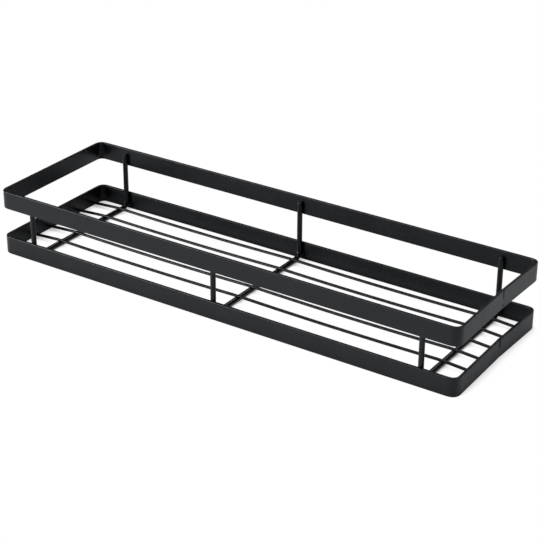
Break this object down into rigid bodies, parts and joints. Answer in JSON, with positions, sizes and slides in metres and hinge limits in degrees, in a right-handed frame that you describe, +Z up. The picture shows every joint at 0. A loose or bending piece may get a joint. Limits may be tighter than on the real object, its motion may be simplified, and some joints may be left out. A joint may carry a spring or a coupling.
{
  "type": "wall spice rack",
  "caption": "Open black steel wall rack for spice jars: two flat-band hoops joined by bent cross wires, with a base of thin long wires.",
  "frame": {"origin": "middle of the footprint, level with the bottom edge of the lower hoop", "axes": "+X along the rack towards the welded short end, +Y towards the wall, +Z up"},
  "size_m": [0.4, 0.123, 0.053],
  "materials": {
    "coated_band": "satin black powder coat on flat steel band",
    "coated_wire": "satin black powder coat on round steel wire"
  },
  "bodies": {
    "root": {"lower_hoop": "coated_band", "upper_hoop": "coated_band", "cross_wire_left": "coated_wire", "cross_wire_centre": "coated_wire", "cross_wire_right": "coated_wire", "base_wire_1": "coated_wire", "base_wire_2": "coated_wire", "base_wire_3": "coated_wire", "base_wire_4": "coated_wire", "base_wire_5": "coated_wire", "base_wire_6": "coated_wire"}
  },
  "joints": []
}
